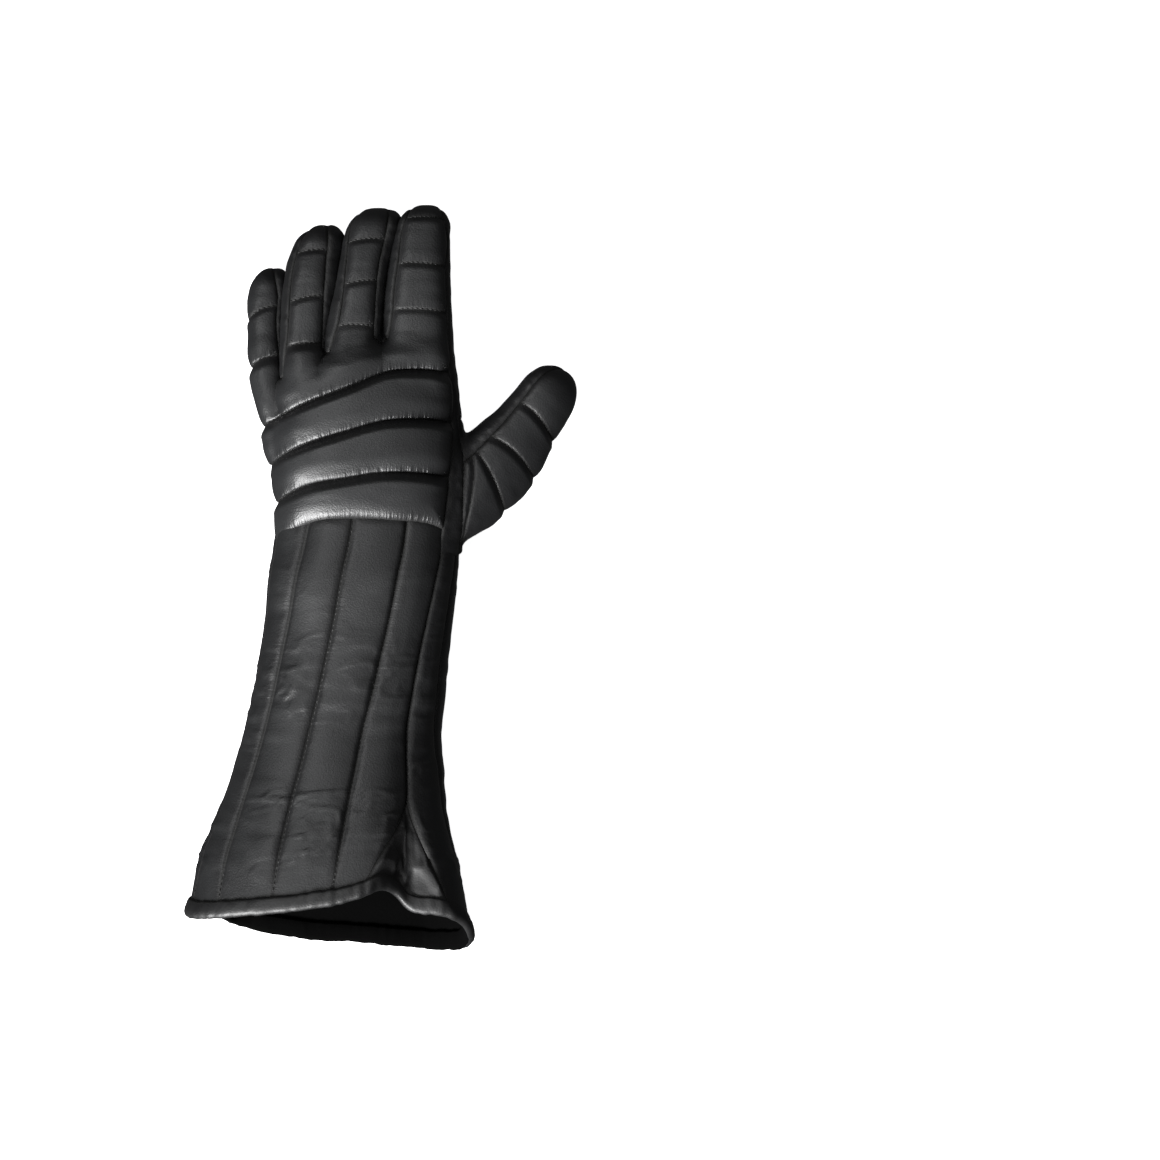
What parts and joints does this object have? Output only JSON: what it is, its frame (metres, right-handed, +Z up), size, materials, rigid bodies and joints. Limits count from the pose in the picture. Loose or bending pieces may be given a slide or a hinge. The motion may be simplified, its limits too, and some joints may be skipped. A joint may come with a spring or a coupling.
{
  "type": "padded leather fencing glove, left hand, with a long gauntlet cuff",
  "caption": "Left-hand padded leather gauntlet: quilted back, smooth palm, fourchettes between the fingers and a long channelled cuff that flares to a bound hem.",
  "frame": {"origin": "on the floor, under the middle of the whole glove's outline", "axes": "+Y along the glove towards the fingertips, +X towards the thumb's side, +Z up out of the back of the hand; the glove lies on its palm"},
  "size_m": [0.2292, 0.44, 0.0896],
  "materials": {
    "quilted_leather": "satin black, quilted over foam",
    "palm_leather": "satin black, smooth and soft",
    "fourchette_leather": "satin black, thin",
    "cuff_leather": "satin black, padded in long channels",
    "gusset_leather": "satin black, unpadded and folded",
    "binding_leather": "satin black, folded over the hem",
    "woven_tag": "plain black weave, blank"
  },
  "bodies": {
    "root": {"back_panel": "quilted_leather", "palm_panel": "palm_leather", "finger_front_insert": "palm_leather", "fourchette_ring_little": "fourchette_leather", "fourchette_middle_ring": "fourchette_leather", "fourchette_index_middle": "fourchette_leather", "thumb_back": "quilted_leather", "thumb_front": "palm_leather", "cuff_back": "cuff_leather", "cuff_palm": "cuff_leather", "cuff_gusset_thumb_side": "gusset_leather", "cuff_gusset_little_side": "gusset_leather", "hem_binding": "binding_leather", "side_tag": "woven_tag"}
  },
  "joints": []
}
